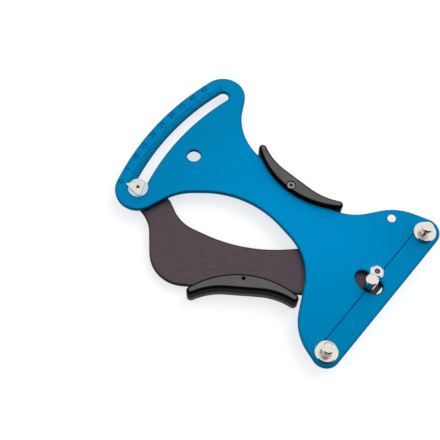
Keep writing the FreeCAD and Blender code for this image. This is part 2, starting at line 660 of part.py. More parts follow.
def return_spring():
    """Close-wound extension spring with a side hook at each end, stretched between its pins."""
    dx = ANCHOR[0] - ARM_PIN[0]
    dy = ANCHOR[1] - ARM_PIN[1]
    span = math.hypot(dx, dy)
    start = SPRING_STEM
    turns = math.floor((span - start - LOOP_R - COIL_R) / COIL_PITCH)
    length = turns * COIL_PITCH
    # Built along +X from the arm pin, with the wire's lowest line at Z 0, then swung into place.
    helix = Part.makeHelix(COIL_PITCH, length, COIL_R)
    wire_face = Part.Wire(Part.makeCircle(WIRE_R, at(COIL_R, 0, 0), at(0, 1, 0)))
    coil = Part.Wire(helix.Edges).makePipeShell([wire_face], True, True)
    coil.rotate(at(0, 0), at(0, 1, 0), 90)
    coil.translate(at(start, 0, COIL_R))
    body = coil
    for centre_x, side, reach in ((0.0, 1.0, start), (span, -1.0, span - start - length)):
        loop = Part.makeTorus(LOOP_R, WIRE_R, at(centre_x, 0, 0), UP)
        stem = Part.makeCylinder(WIRE_R, reach - LOOP_R + WIRE_R / 2,
                                 at(centre_x + side * LOOP_R, 0, 0), at(side, 0, 0))
        body = body.fuse(loop.fuse(stem))
    body.rotate(at(0, 0), UP, math.degrees(math.atan2(dy, dx)))
    body.translate(at(ARM_PIN[0], ARM_PIN[1], LOOP_LEVEL))
    return body


# ---- pointer ------------------------------------------------------------------------------
POINTER_DEG = 180 + SCALE_ZERO_DEG + POINTER_TURN_DEG
SLEEVE_TOP = PLATE_FRONT + 2 * FACE_PLAY
POINTER_BACK = SLEEVE_TOP + FRONT_WASHER_T
POINTER_FRONT = POINTER_BACK + POINTER_T


def key_face(radius):
    points = [at(*polar(radius, POINTER_DEG + 60 + 120 * i, STUD)) for i in range(3)]
    return Part.Face(Part.makePolygon(points + points[:1]))


def pointer():
    """Three-cornered plate with its point towards the scale and a three-sided hole."""
    rounds = [(*polar(POINTER_TIP_LEN, POINTER_DEG, STUD), POINTER_TIP_R),
              (*polar(POINTER_CORNER_LEN, POINTER_DEG + POINTER_CORNER_DEG, STUD), POINTER_CORNER_R),
              (*polar(POINTER_CORNER_LEN, POINTER_DEG - POINTER_CORNER_DEG, STUD), POINTER_CORNER_R)]
    body = slab(outline(rounds), POINTER_BACK, POINTER_T)
    body = bevel_outline(body, (POINTER_FRONT,), EDGE_BREAK / 2)
    return body.cut(slab(key_face(KEY_R + HOLE_FIT), POINTER_BACK - BEYOND, POINTER_T + 2 * BEYOND))


def pointer_stud():
    """Headed stud with a three-sided key that stops below the pointer's face."""
    profile = [(0, ARM_BACK - STUD_HEAD_H), (STUD_HEAD_R - POST_BEVEL, ARM_BACK - STUD_HEAD_H),
               (STUD_HEAD_R, ARM_BACK - STUD_HEAD_H + POST_BEVEL), (STUD_HEAD_R, ARM_BACK),
               (STUD_R, ARM_BACK), (STUD_R, POINTER_BACK), (0, POINTER_BACK)]
    key = slab(key_face(KEY_R), POINTER_BACK - BEYOND, POINTER_T - KEY_SINK + BEYOND)
    return turned(profile, STUD).fuse(key)


def pointer_sleeve():
    return ring(SLEEVE_R, STUD_R + HOLE_FIT, ARM_FRONT, SLEEVE_TOP - ARM_FRONT, STUD)


def pointer_rear_washer():
    return ring(REAR_WASHER_R, SLEEVE_R + HOLE_FIT, ARM_FRONT, PLATE_GAP - FACE_PLAY, STUD)


def pointer_front_washer():
    return ring(FRONT_WASHER_R, STUD_R + HOLE_FIT, SLEEVE_TOP, FRONT_WASHER_T, STUD)


def save(name, *solids):
    shape = solids[0] if len(solids) == 1 else Part.makeCompound(solids)
    shape.exportStep(os.path.join("parts", name + ".step"))


def main():
    os.makedirs("parts", exist_ok=True)
    upper_face = UPPER_GRIP_TOP
    lower_face = 0.0
    save("main_plate", main_plate())
    save("upper_grip", grip(UPPER_GRIP, plate_blank(), upper_face))
    save("upper_grip_screw", grip_screw(UPPER_GRIP, upper_face, PLATE_THICK))
    save("fixed_post_upper", fixed_post(POST_UPPER))
    save("fixed_post_lower", fixed_post(POST_LOWER))
    save("fixed_post_lock_washers", lock_washer(POST_UPPER), lock_washer(POST_LOWER))
    save("fixed_post_nuts", post_nut(POST_UPPER), post_nut(POST_LOWER))
    save("pivot_bolt", pivot_bolt())
    save("pivot_washer", pivot_washer())
    save("pivot_bushing", pivot_bushing())
    save("thrust_washer", thrust_washer())
    save("pivot_nut", pivot_nut())
    save("pivot_nut_insert", pivot_nut_insert())
    save("spring_anchor_pin", spring_pin(ANCHOR, PLATE_BACK, ANCHOR_R, PLATE_FRONT + ANCHOR_PROUD))
    save("return_spring", return_spring())
    save("arm_plate", arm_plate())
    save("lower_grip", grip(LOWER_GRIP, arm_blank(), lower_face))
    save("lower_grip_screw", grip_screw(LOWER_GRIP, lower_face, ARM_THICK))
    save("moving_post", moving_post())
    save("moving_post_screw", moving_post_screw())
    save("arm_spring_pin", spring_pin(ARM_PIN, ARM_BACK, ARM_PIN_R, ARM_FRONT))
    save("pointer_stud", pointer_stud())
    save("pointer_sleeve", pointer_sleeve())
    save("pointer_rear_washer", pointer_rear_washer())
    save("pointer_front_washer", pointer_front_washer())
    save("pointer", pointer())


main()
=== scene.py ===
"""Spoke tension meter: finishes, etched scale and return spring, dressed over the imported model.

Sizes and places are millimetres in the part's own frame, and MM turns them into metres: +X from
the scale to the spoke posts, +Y towards the upper grip and +Z out of the front face, with the
pivot axis at the origin. The floor, the black flag and the camera are placed in metres.
"""

import math

import bmesh
import bpy
from mathutils import Matrix, Vector


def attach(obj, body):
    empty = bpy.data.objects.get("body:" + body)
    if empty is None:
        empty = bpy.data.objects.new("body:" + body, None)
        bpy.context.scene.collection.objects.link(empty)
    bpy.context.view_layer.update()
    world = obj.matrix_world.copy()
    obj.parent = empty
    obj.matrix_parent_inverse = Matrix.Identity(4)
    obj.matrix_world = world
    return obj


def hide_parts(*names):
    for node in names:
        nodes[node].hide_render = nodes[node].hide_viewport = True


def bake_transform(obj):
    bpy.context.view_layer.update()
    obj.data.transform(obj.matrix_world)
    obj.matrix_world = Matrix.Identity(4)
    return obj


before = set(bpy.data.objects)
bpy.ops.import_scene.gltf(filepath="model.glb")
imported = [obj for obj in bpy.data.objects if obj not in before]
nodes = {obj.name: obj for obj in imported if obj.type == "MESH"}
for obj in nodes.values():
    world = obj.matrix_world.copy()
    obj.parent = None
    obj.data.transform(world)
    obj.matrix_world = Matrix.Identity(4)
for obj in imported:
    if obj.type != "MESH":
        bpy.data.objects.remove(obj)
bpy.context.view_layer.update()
MM = 0.001

# ---- places taken from the source of the solids, mm ---------------------------------------
PLATE_FRONT = 11.1
POST_UPPER = (7.0, 43.0)
POST_LOWER = (7.0, -60.2)
MOVING_POST = (1.33, -8.60)
ANCHOR_PIN = (-14.8, 37.6)
ARM_PIN = (2.5, 10.5)
POINTER_STUD = (-152.57, -53.88)
UPPER_GRIP_SCREW = (-77.8, 12.2)
LOWER_GRIP_SCREW = (-59.5, -57.8)
UPPER_SCREW_CROWN = 14.7
LOWER_SCREW_CROWN = 0.3
SPOKE_LINE_X = 1.9
SPOKE_LINE_W = 0.5
SPOKE_LINE_DEPTH = 0.25

# ---- places and sizes of the finishes, mm and degrees -------------------------------------
LIGHT_POOL_MIDDLE = (-61, -3)      # middle of the painted pool of light on the main plate
LIGHT_POOL_FULL_TO = 15            # the painted light starts to fade from here
LIGHT_POOL_FADED_AT = 95          # to here
BRUSHED_DEG = 41            # way of the grain on the arm, from +X
BARREL_DEG = 24             # way of the scratches on the pointer
LIT_BAND_BLUR = 0.6            # half the height over which the grips' painted band of light fades
LATHE_RING = 0.4
RINGS_PER_UNIT = 3.18       # waves of the Rings pattern in one unit at a scale of 1
CROSS_TURN_DEG = 45
CROSS_HALF_W = (0.45, 0.72)     # the slots of the grip screws' cross: painted dark for shade up to the first, unshaded from the second
CROSS_REACH = (1.35, 1.60)      # clean from the second
CROWN_BAND = (0.35, 0.08)    # below the crown: the lighter crown starts, and is full
MIDDLE_BLUR = 0.25            # half the width over which a lighter middle fades


# ---- node helpers -------------------------------------------------------------------------
def linear(code):
    """sRGB hex to the linear colour that a shader wants."""
    values = [int(code[i:i + 2], 16) / 255 for i in (1, 3, 5)]
    return tuple(v / 12.92 if v <= 0.04045 else ((v + 0.055) / 1.055) ** 2.4 for v in values) + (1.0,)


def add(tree, kind, inputs=(), **settings):
    """Adds a node with its settings, and puts a value or a link on each named input."""
    node = tree.nodes.new("ShaderNode" + kind)
    for name, value in settings.items():
        setattr(node, name, value)
    for name, value in dict(inputs).items():
        socket = node.inputs[name]
        if isinstance(value, bpy.types.NodeSocket):
            tree.links.new(value, socket)
        else:
            socket.default_value = value
    return node


def new_finish(name):
    """An empty material: its node tree, its shader and the piece's own coordinates in metres."""
    material = bpy.data.materials.new(name)
    material.use_nodes = True
    tree = material.node_tree
    tree.nodes.clear()
    shader = add(tree, "BsdfPrincipled")
    add(tree, "OutputMaterial", {"Surface": shader.outputs["BSDF"]})
    place = add(tree, "TexCoord").outputs["Object"]
    return material, tree, shader, place


def put(tree, shader, **values):
    """Sets or links the shader's inputs."""
    for name, value in values.items():
        socket = shader.inputs[name.replace("_", " ")]
        if isinstance(value, bpy.types.NodeSocket):
            tree.links.new(value, socket)
        else:
            socket.default_value = value


def per_mm(size):
    """Texture scale of a pattern whose features are this many millimetres apart."""
    return 1.0 / (size * MM)


def spread(tree, value, low, high, start=0.3, end=0.7):
    """A noise value stretched to run from low to high."""
    return add(tree, "MapRange", {"Value": value, "From Min": start, "From Max": end,
                                  "To Min": low, "To Max": high}).outputs["Result"]


def shades(tree, factor, *stops):
    """Colour ramp of (place, sRGB hex) stops."""
    ramp = add(tree, "ValToRGB", {"Fac": factor})
    items = ramp.color_ramp.elements
    for index, (place, code) in enumerate(stops):
        item = items[index] if index < 2 else items.new(place)
        item.position = place
        item.color = linear(code)
    return ramp.outputs["Color"]


def worn_edges(tree, place, radius, patch, least=0.25, full=0.90):
    """0 on flats and up to 1 along an edge of that radius, in patches (both mm).

    Between the patches it falls to the least value. The lower the cosine at which it is
    full, the narrower it is."""
    soft = add(tree, "Bevel", {"Radius": radius * MM}, samples=6)
    true = add(tree, "NewGeometry")
    facing = add(tree, "VectorMath", {0: soft.outputs["Normal"], 1: true.outputs["Normal"]},
                 operation="DOT_PRODUCT")
    edge = add(tree, "MapRange", {"Value": facing.outputs["Value"], "From Min": 0.995, "From Max": full,
                                  "To Min": 0.0, "To Max": 1.0})
    zone = add(tree, "TexNoise", {"Vector": place, "Scale": per_mm(patch), "Detail": 3.0})
    patchy = spread(tree, zone.outputs["Fac"], least, 1.0, 0.35, 0.6)
    return add(tree, "Math", {0: edge.outputs["Result"], 1: patchy}, operation="MULTIPLY").outputs["Value"]


def on_sides(tree, low, high):
    """0 on faces that lie flat in the part, 1 on its side walls, from the way they face."""
    faces = add(tree, "TexCoord").outputs["Normal"]
    upright = add(tree, "SeparateXYZ", {"Vector": faces}).outputs["Z"]
    size = add(tree, "Math", {0: upright}, operation="ABSOLUTE").outputs["Value"]
    return add(tree, "MapRange", {"Value": size, "From Min": high, "From Max": low,
                                  "To Min": 0.0, "To Max": 1.0}).outputs["Result"]


def relief(tree, height, depth):
    """Bump of a pattern whose full height is this many millimetres."""
    return add(tree, "Bump", {"Height": height, "Distance": depth * MM, "Strength": 1.0}).outputs["Normal"]


# ---- finishes -----------------------------------------------------------------------------
def blue_anodised_aluminium():
    """Sheet aluminium, tumbled, dyed bright blue and sealed: satin colour, with a painted pool of light
    round the middle of the plate and painted shade on its walls and edges.
    """
    material, tree, shader, place = new_finish("blue_anodised_aluminium")
    # Painted pool of light: the blue is painted a little paler in the middle of the plate than at its
    # ends.
    cloud = add(tree, "TexNoise", {"Vector": place, "Scale": per_mm(38), "Detail": 2.0})
    pool_middle = (LIGHT_POOL_MIDDLE[0] * MM, LIGHT_POOL_MIDDLE[1] * MM, PLATE_FRONT * MM)
    away = add(tree, "VectorMath", {0: place, 1: pool_middle}, operation="DISTANCE")
    pool_falloff = add(tree, "MapRange", {"Value": away.outputs["Value"], "From Min": LIGHT_POOL_FULL_TO * MM,
                                    "From Max": LIGHT_POOL_FADED_AT * MM, "To Min": 0.1, "To Max": 0.9})
    uneven = spread(tree, cloud.outputs["Fac"], -0.1, 0.1)
    depth = add(tree, "Math", {0: pool_falloff.outputs["Result"], 1: uneven}, operation="ADD")
    # Tumbling leaves pits about 0.05 mm wide, drawn at 0.45 mm so that they show.
    grit = add(tree, "TexNoise", {"Vector": place, "Scale": per_mm(0.45), "Detail": 2.0})
    dye = shades(tree, depth.outputs["Value"], (0.0, "#009EDB"), (1.0, "#008EC2"))
    # Painted shade: the sheared walls and their chamfers are painted dark blue.
    walls = add(tree, "Mix", {"Factor": on_sides(tree, 0.3, 0.97), "A": dye, "B": linear("#002B45")},
                data_type="RGBA")
    # Painted shade along the edges: the mask is about a third as wide as its radius, so the dark line is
    # 0.6 mm.
    edge = worn_edges(tree, place, 1.8, 6, 0.7, 0.96)
    edge_shaded = add(tree, "Mix", {"Factor": edge, "A": walls.outputs["Result"], "B": linear("#00739A")},
                data_type="RGBA")
    gloss = spread(tree, grit.outputs["Fac"], 0.55, 0.65)
    put(tree, shader, Base_Color=edge_shaded.outputs["Result"], Metallic=1.0, Roughness=gloss,
        Normal=relief(tree, grit.outputs["Fac"], 0.008))
    return material


def grey_brushed_aluminium():
    """Sheet aluminium brushed one way, then dyed dark grey: fine straight grain under a dull sheen, with
    painted shade on its walls and edges.
    """
    material, tree, shader, place = new_finish("grey_brushed_aluminium")
    # Brushing leaves lines about 0.08 mm apart and centimetres long, drawn 0.9 mm apart and
    # 7 mm long.
    grain = add(tree, "Mapping", {"Vector": place, "Rotation": (0.0, 0.0, math.radians(BRUSHED_DEG)),
                                  "Scale": (7 * MM, 0.9 * MM, 0.9 * MM)}, vector_type="TEXTURE")
    lines = add(tree, "TexNoise", {"Vector": grain.outputs["Vector"], "Scale": 1.0, "Detail": 3.0})
    dye = shades(tree, lines.outputs["Fac"], (0.3, "#554A50"), (0.7, "#695D63"))
    # Painted shade: the side walls are painted near black.
    walls = add(tree, "Mix", {"Factor": on_sides(tree, 0.75, 0.97), "A": dye, "B": linear("#1E1A1C")},
                data_type="RGBA")
    # Painted shade: a darker line along the edges, in patches.
    edge = worn_edges(tree, place, 2.0, 6, 0.6, 0.95)
    edge_shaded = add(tree, "Mix", {"Factor": edge, "A": walls.outputs["Result"], "B": linear("#332D30")},
                data_type="RGBA")
    put(tree, shader, Base_Color=edge_shaded.outputs["Result"], Metallic=1.0,
        Roughness=spread(tree, lines.outputs["Fac"], 0.50, 0.62),
        Normal=relief(tree, lines.outputs["Fac"], 0.01))
    return material


def moulded_black_nylon(name, lit_band_top):
    """Glass-filled nylon, injection moulded: fine mould texture, soft shine, black, with a grey painted
    sheen on its flat faces and painted shade on its sides.

    Below the lit band's top, in mm above the bench, the sides are painted grey: a painted band of light."""
    material, tree, shader, place = new_finish("moulded_black_nylon_" + name)
    flow = add(tree, "TexNoise", {"Vector": place, "Scale": per_mm(14), "Detail": 2.0})
    # The mould's spark-eroded texture is about 0.1 mm, drawn at 0.6 mm.
    texture = add(tree, "TexNoise", {"Vector": place, "Scale": per_mm(0.6), "Detail": 2.0})
    top_tone_and_sheen = shades(tree, flow.outputs["Fac"], (0.3, "#575757"), (0.7, "#5F5F5F"))
    # Painted light and shade: the flat faces are painted grey for the sheen of the light on the textured
    # nylon, and the sides near black for shade, with a grey painted band of light low on them.
    height = add(tree, "SeparateXYZ", {"Vector": place}).outputs["Z"]
    lit_band = add(tree, "MapRange", {"Value": height, "From Min": (lit_band_top + LIT_BAND_BLUR) * MM,
                                   "From Max": (lit_band_top - LIT_BAND_BLUR) * MM}).outputs["Result"]
    flank_light_and_shade = add(tree, "Mix", {"Factor": lit_band, "A": linear("#060606"), "B": linear("#575555")},
                data_type="RGBA")
    sides = add(tree, "Mix", {"Factor": on_sides(tree, 0.90, 0.985), "A": top_tone_and_sheen,
                              "B": flank_light_and_shade.outputs["Result"]}, data_type="RGBA")
    put(tree, shader, Base_Color=sides.outputs["Result"], Metallic=0.0, IOR=1.53,
        Specular_IOR_Level=0.02, Roughness=spread(tree, texture.outputs["Fac"], 0.44, 0.56),
        Normal=relief(tree, texture.outputs["Fac"], 0.012))
    return material


def turned_nickel_plate(name, centre, tones=("#E4DCD3", "#EEE7DF"), gloss=(0.14, 0.26)):
    """Turned steel, polished and nickel plated: near-white mirror with faint lathe rings."""
    material, tree, shader, place = new_finish("nickel_plated_" + name)
    own = add(tree, "VectorMath", {0: place, 1: (centre[0] * MM, centre[1] * MM, 0.0)},
              operation="SUBTRACT")
    # The lathe's feed leaves rings about 0.05 mm apart, drawn 0.4 mm apart.
    rings = add(tree, "TexWave", {"Vector": own.outputs["Vector"],
                                  "Scale": per_mm(LATHE_RING) / RINGS_PER_UNIT,
                                  "Distortion": 0.6, "Detail": 2.0}, wave_type="RINGS",
                rings_direction="Z")
    smear = add(tree, "TexNoise", {"Vector": place, "Scale": per_mm(3), "Detail": 3.0})
    plate = shades(tree, smear.outputs["Fac"], (0.3, tones[0]), (0.7, tones[1]))
    put(tree, shader, Base_Color=plate, Metallic=1.0,
        Roughness=spread(tree, smear.outputs["Fac"], *gloss),
        Normal=relief(tree, rings.outputs["Fac"], 0.0012))
    return material


def zinc_plated_steel():
    """Headed and rolled steel, bright zinc plated: pale bluish grey, cloudy shine."""
    material, tree, shader, place = new_finish("zinc_plated_steel")
    cloud = add(tree, "TexNoise", {"Vector": place, "Scale": per_mm(1.6), "Detail": 3.0})
    plate = shades(tree, cloud.outputs["Fac"], (0.3, "#B9BDC0"), (0.7, "#CBCED0"))
    # Lighter along the edges, in patches.
    edge = worn_edges(tree, place, 0.3, 2)
    lighter_edges = add(tree, "Mix", {"Factor": edge, "A": plate, "B": linear("#DCDDDD")}, data_type="RGBA")
    put(tree, shader, Base_Color=lighter_edges.outputs["Result"], Metallic=1.0,
        Roughness=spread(tree, cloud.outputs["Fac"], 0.28, 0.42),
        Normal=relief(tree, cloud.outputs["Fac"], 0.006))
    return material


def oiled_grip_screw(name, centre, crown, way):
    """Small cross-recess screw, black oxide and oiled: bronze-tinted steel on its crown, dark below it.

    The cross and a band along its slots are painted dark: painted shade in the recess."""
    material, tree, shader, place = new_finish("oiled_grip_screw_" + name)
    film = add(tree, "TexNoise", {"Vector": place, "Scale": per_mm(0.7), "Detail": 3.0})
    oxide = shades(tree, film.outputs["Fac"], (0.3, "#0E0B09"), (0.7, "#16120E"))
    height = add(tree, "SeparateXYZ", {"Vector": place}).outputs["Z"]
    zone = add(tree, "MapRange", {"Value": height, "From Min": (crown - CROWN_BAND[0] * way) * MM,
                                 "From Max": (crown - CROWN_BAND[1] * way) * MM}).outputs["Result"]
    # Painted shade: the cross and a band beside its slots keep the dark oxide colour.
    own = add(tree, "Mapping", {"Vector": place, "Location": (centre[0] * MM, centre[1] * MM, 0.0),
                                "Rotation": (0.0, 0.0, math.radians(CROSS_TURN_DEG))},
              vector_type="TEXTURE")
    spans = add(tree, "VectorMath", {0: own.outputs["Vector"]}, operation="ABSOLUTE")
    across = add(tree, "SeparateXYZ", {"Vector": spans.outputs["Vector"]}).outputs
    nearer = add(tree, "Math", {0: across["X"], 1: across["Y"]}, operation="MINIMUM")
    farther = add(tree, "Math", {0: across["X"], 1: across["Y"]}, operation="MAXIMUM")
    beside = add(tree, "MapRange", {"Value": nearer.outputs["Value"], "From Min": CROSS_HALF_W[0] * MM,
                                    "From Max": CROSS_HALF_W[1] * MM}).outputs["Result"]
    beyond = add(tree, "MapRange", {"Value": farther.outputs["Value"], "From Min": CROSS_REACH[0] * MM,
                                    "From Max": CROSS_REACH[1] * MM}).outputs["Result"]
    outside = add(tree, "Math", {0: beside, 1: beyond}, operation="MAXIMUM")
    crown_unshaded = add(tree, "Math", {0: zone, 1: outside.outputs["Value"]}, operation="MULTIPLY").outputs["Value"]
    two_tone = add(tree, "Mix", {"Factor": crown_unshaded, "A": oxide, "B": linear("#A39C8E")}, data_type="RGBA")
    put(tree, shader, Base_Color=two_tone.outputs["Result"], Metallic=crown_unshaded,
        Roughness=spread(tree, film.outputs["Fac"], 0.25, 0.40),
        Normal=relief(tree, film.outputs["Fac"], 0.005))
    return material


def stamped_stainless():
    """Stainless sheet, stamped and barrel finished: soft silver, fine random scratches."""
    material, tree, shader, place = new_finish("stamped_stainless")
    # Barrel scratches are hair fine, drawn 0.25 mm wide and 3 mm long.
    grain = add(tree, "Mapping", {"Vector": place, "Rotation": (0.0, 0.0, math.radians(BARREL_DEG)),
                                  "Scale": (3 * MM, 0.25 * MM, 0.25 * MM)}, vector_type="TEXTURE")
    scratch = add(tree, "TexNoise", {"Vector": grain.outputs["Vector"], "Scale": 1.0, "Detail": 2.0})
    sheet = shades(tree, scratch.outputs["Fac"], (0.3, "#D8D5CD"), (0.7, "#E8E6E0"))
    put(tree, shader, Base_Color=sheet, Metallic=1.0,
        Roughness=spread(tree, scratch.outputs["Fac"], 0.26, 0.38),
        Normal=relief(tree, scratch.outputs["Fac"], 0.003))
    return material


def drawn_spring_wire():
    """Hard-drawn wire, zinc plated: grey, with drawing lines and a slightly oily shine."""
    material, tree, shader, place = new_finish("drawn_spring_wire")
    film = add(tree, "TexNoise", {"Vector": place, "Scale": per_mm(0.9), "Detail": 3.0})
    zinc = shades(tree, film.outputs["Fac"], (0.3, "#9A9CA0"), (0.7, "#B4B6B8"))
    put(tree, shader, Base_Color=zinc, Metallic=1.0,
        Roughness=spread(tree, film.outputs["Fac"], 0.26, 0.42),
        Normal=relief(tree, film.outputs["Fac"], 0.004))
    return material


def sintered_bronze():
    """Bushing pressed from bronze powder: brown-gold, pores that hold oil."""
    material, tree, shader, place = new_finish("sintered_bronze")
    # Grains are about 0.1 mm, drawn at 0.3 mm.
    grains = add(tree, "TexVoronoi", {"Vector": place, "Scale": per_mm(0.3)})
    metal = shades(tree, grains.outputs["Distance"], (0.1, "#A8814C"), (0.7, "#7A5B34"))
    put(tree, shader, Base_Color=metal, Metallic=1.0,
        Roughness=spread(tree, grains.outputs["Distance"], 0.36, 0.60, 0.1, 0.7),
        Normal=relief(tree, grains.outputs["Distance"], 0.01))
    return material


def milky_nylon(name, low, high):
    """Natural nylon, cut or moulded: milky white, lets a little light in."""
    material, tree, shader, place = new_finish("milky_nylon_" + name)
    haze = add(tree, "TexNoise", {"Vector": place, "Scale": per_mm(2.5), "Detail": 2.0})
    body = shades(tree, haze.outputs["Fac"], (0.3, low), (0.7, high))
    put(tree, shader, Base_Color=body, Metallic=0.0, IOR=1.53, Subsurface_Weight=0.25,
        Subsurface_Radius=(0.6, 0.7, 0.8), Subsurface_Scale=0.001,
        Roughness=spread(tree, haze.outputs["Fac"], 0.30, 0.42),
        Normal=relief(tree, haze.outputs["Fac"], 0.01))
    return material


def black_oxide_steel(name, centre, middle_r, tones):
    """Steel blackened in a hot salt bath: dark, slightly brown, lighter grey in the middle of its ends.

    On the pointer stud its near-black tones are painted shade.
    """
    material, tree, shader, place = new_finish("black_oxide_steel_" + name)
    film = add(tree, "TexNoise", {"Vector": place, "Scale": per_mm(0.8), "Detail": 3.0})
    oxide = shades(tree, film.outputs["Fac"], (0.3, tones[0]), (0.7, tones[1]))
    own = add(tree, "VectorMath", {0: place, 1: (centre[0] * MM, centre[1] * MM, 0.0)},
              operation="SUBTRACT")
    flat = add(tree, "VectorMath", {0: own.outputs["Vector"], 1: (1.0, 1.0, 0.0)}, operation="MULTIPLY")
    reach = add(tree, "VectorMath", {0: flat.outputs["Vector"]}, operation="LENGTH")
    zone = add(tree, "MapRange", {"Value": reach.outputs["Value"], "From Min": (middle_r + MIDDLE_BLUR) * MM,
                                 "From Max": (middle_r - MIDDLE_BLUR) * MM}).outputs["Result"]
    two_tone = add(tree, "Mix", {"Factor": zone, "A": oxide, "B": linear("#7A7974")}, data_type="RGBA")
    put(tree, shader, Base_Color=two_tone.outputs["Result"], Metallic=1.0,
        Roughness=spread(tree, film.outputs["Fac"], 0.30, 0.45),
        Normal=relief(tree, film.outputs["Fac"], 0.004))
    return material


def etched_blue_dye():
    """Laser-etched marks: the dye is burnt darker, and the pits are duller than the plate."""
    material, tree, shader, place = new_finish("etched_blue_dye")
    # The laser's raster is about 0.05 mm, drawn at 0.3 mm.
    raster = add(tree, "TexNoise", {"Vector": place, "Scale": per_mm(0.3), "Detail": 1.0})
    burnt = shades(tree, raster.outputs["Fac"], (0.3, "#003C72"), (0.7, "#004884"))
    put(tree, shader, Base_Color=burnt, Metallic=1.0,
        Roughness=spread(tree, raster.outputs["Fac"], 0.55, 0.70),
        Normal=relief(tree, raster.outputs["Fac"], 0.01))
    return material


BLUE = blue_anodised_aluminium()
GREY = grey_brushed_aluminium()
ZINC = zinc_plated_steel()
NYLON = milky_nylon("washers", "#BFD3E0", "#CEDEE8")
WIRE = drawn_spring_wire()
ETCHED = etched_blue_dye()
finishes = {
    "main_plate": BLUE,
    "arm_plate": GREY,
    "upper_grip": moulded_black_nylon("upper_grip", -1.0),
    "lower_grip": moulded_black_nylon("lower_grip", 6.8),
    "upper_grip_screw": oiled_grip_screw("upper", UPPER_GRIP_SCREW, UPPER_SCREW_CROWN, 1),
    "lower_grip_screw": oiled_grip_screw("lower", LOWER_GRIP_SCREW, LOWER_SCREW_CROWN, -1),
    "fixed_post_upper": turned_nickel_plate("upper_post", POST_UPPER),
    "fixed_post_lower": turned_nickel_plate("lower_post", POST_LOWER),
    "moving_post": turned_nickel_plate("moving_post", MOVING_POST),
    "pivot_nut": turned_nickel_plate("pivot_nut", (0.0, 0.0), ("#F8F1EE", "#FCF7F5"), (0.34, 0.44)),
    "spring_anchor_pin": turned_nickel_plate("anchor_pin", ANCHOR_PIN, ("#F0E9EA", "#F8F1F3")),
    "arm_spring_pin": turned_nickel_plate("arm_pin", ARM_PIN),
    "fixed_post_lock_washers": ZINC,
    "fixed_post_nuts": ZINC,
    "pivot_bolt": black_oxide_steel("pivot_bolt", (0.0, 0.0), 0.85, ("#35312C", "#45403A")),
    "pivot_washer": ZINC,
    "moving_post_screw": ZINC,
    "pivot_bushing": sintered_bronze(),
    "thrust_washer": NYLON,
    "pointer_sleeve": NYLON,
    "pointer_rear_washer": NYLON,
    "pointer_front_washer": NYLON,
    "pivot_nut_insert": milky_nylon("nut_insert", "#ECE4E0", "#F4EEEA"),
    "return_spring": WIRE,
    # The pointer stud's near-black tones are painted shade in the pointer's recess.
    "pointer_stud": black_oxide_steel("pointer_stud", POINTER_STUD, 0.25, ("#1A1816", "#24211E")),
    "pointer": stamped_stainless(),
}
for name, finish in finishes.items():
    nodes[name].data.materials.clear()
    nodes[name].data.materials.append(finish)


# ---- pieces added to the solids -----------------------------------------------------------
def make_piece(name, mesh_maker, finish, body):
    """Turns what the maker puts in a bmesh, in millimetres, into a piece on that body."""
    work = bmesh.new()
    mesh_maker(work)
    bmesh.ops.scale(work, vec=(MM, MM, MM), verts=work.verts)
    mesh = bpy.data.meshes.new(name)
    work.to_mesh(mesh)
    work.free()
    mesh.materials.append(finish)
    piece = bpy.data.objects.new(name, mesh)
    bpy.context.scene.collection.objects.link(piece)
    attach(piece, body)
    return piece


SCALE_ZERO_DEG = 19.3       # below -X, about the pivot
DEG_PER_UNIT = 0.666
LAST_TICK = 50
LAST_FIGURE = 45
FIFTH = 5                   # every fifth tick is longer and has a figure
TICK_INNER_R = 166.3
TICK_OUTER_R = 170.0
FIFTH_OUTER_R = 171.0
TICK_W = 0.5
FIGURE_R = 174.1            # middle of the figures
FIGURE_H = 3.4
FIGURE_STRETCH = 1.05
ETCH_TOP = PLATE_FRONT + 0.015
ETCH_BOTTOM = PLATE_FRONT - 0.05
SHADE_STRIP_BOTTOM = PLATE_FRONT - SPOKE_LINE_DEPTH - 0.02
SHADE_STRIP_TOP = PLATE_FRONT - SPOKE_LINE_DEPTH + 0.03


def scale_angle(value):
    return math.radians(180 + SCALE_ZERO_DEG - DEG_PER_UNIT * value)


def thin_box(work, low, high, place):
    """Box between two corners, moved by a matrix."""
    corners = [place @ Vector((x, y, z)) for z in (low[2], high[2])
               for x, y in ((low[0], low[1]), (high[0], low[1]), (high[0], high[1]), (low[0], high[1]))]
    v = [work.verts.new(c) for c in corners]
    for face in ((3, 2, 1, 0), (4, 5, 6, 7), (0, 1, 5, 4), (1, 2, 6, 5), (2, 3, 7, 6), (3, 0, 4, 7)):
        work.faces.new([v[i] for i in face])


def scale_ticks(work):
    for value in range(LAST_TICK + 1):
        outer = TICK_OUTER_R if value % FIFTH else FIFTH_OUTER_R
        thin_box(work, (TICK_INNER_R, -TICK_W / 2, ETCH_BOTTOM), (outer, TICK_W / 2, ETCH_TOP),
                 Matrix.Rotation(scale_angle(value), 4, "Z"))


